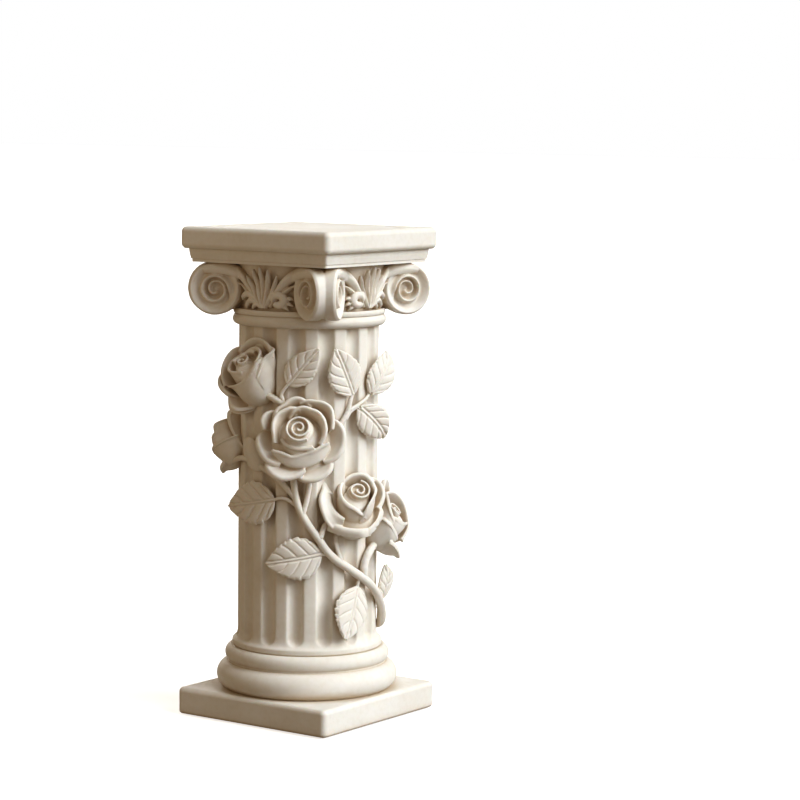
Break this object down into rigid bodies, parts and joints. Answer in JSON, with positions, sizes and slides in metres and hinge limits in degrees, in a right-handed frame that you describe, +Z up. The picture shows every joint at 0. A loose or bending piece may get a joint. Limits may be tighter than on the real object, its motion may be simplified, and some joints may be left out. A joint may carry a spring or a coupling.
{
  "type": "decorative column stand",
  "caption": "Cream cast column pedestal with square plinth, moulded base, fluted shaft wrapped by a climbing rose vine, scroll capital and flat square top for a pot or vase.",
  "frame": {"origin": "on the floor, under the column's axis, at the middle of the plinth", "axes": "+Z up along the column; -Y is the front face, the left of the two faces seen in the picture; +X is the right-hand one"},
  "size_m": [0.234, 0.234, 0.618],
  "materials": {
    "cast_stone": "matte",
    "cast_ornament": "matte",
    "steel": "satin",
    "timber": "matte",
    "felt": "matte"
  },
  "bodies": {
    "root": {"abacus_moulding": "cast_stone", "acanthus_back": "cast_stone", "acanthus_front": "cast_stone", "acanthus_left": "cast_stone", "acanthus_right": "cast_stone", "anchor_plate": "steel", "anchor_screws": "steel", "base_dowels": "timber", "base_moulding": "cast_stone", "capital_bell": "cast_stone", "foot_pads": "felt", "leaf_low_left": "cast_ornament", "leaf_low_mid": "cast_ornament", "leaf_low_right": "cast_ornament", "leaf_mid_left": "cast_ornament", "leaf_mid_right": "cast_ornament", "leaf_top_left": "cast_ornament", "leaf_top_mid": "cast_ornament", "leaf_top_right": "cast_ornament", "lower_centring_disc": "timber", "neck_ring": "cast_stone", "plinth": "cast_stone", "rose_large": "cast_ornament", "rose_left": "cast_ornament", "rose_lower": "cast_ornament", "rose_pins": "steel", "rose_right": "cast_ornament", "rose_upper": "cast_ornament", "shaft": "cast_stone", "stem_large_rose": "cast_ornament", "stem_left_rose": "cast_ornament", "stem_lower_rose": "cast_ornament", "stem_lower_spur": "cast_ornament", "stem_right_rose": "cast_ornament", "stem_upper_left": "cast_ornament", "stem_upper_right": "cast_ornament", "tie_nut": "steel", "tie_rod": "steel", "tie_washer": "steel", "top_slab": "cast_stone", "upper_centring_disc": "timber", "vine_main": "cast_ornament", "volute_back_left": "cast_stone", "volute_back_right": "cast_stone", "volute_front_left": "cast_stone", "volute_front_right": "cast_stone"}
  },
  "joints": []
}
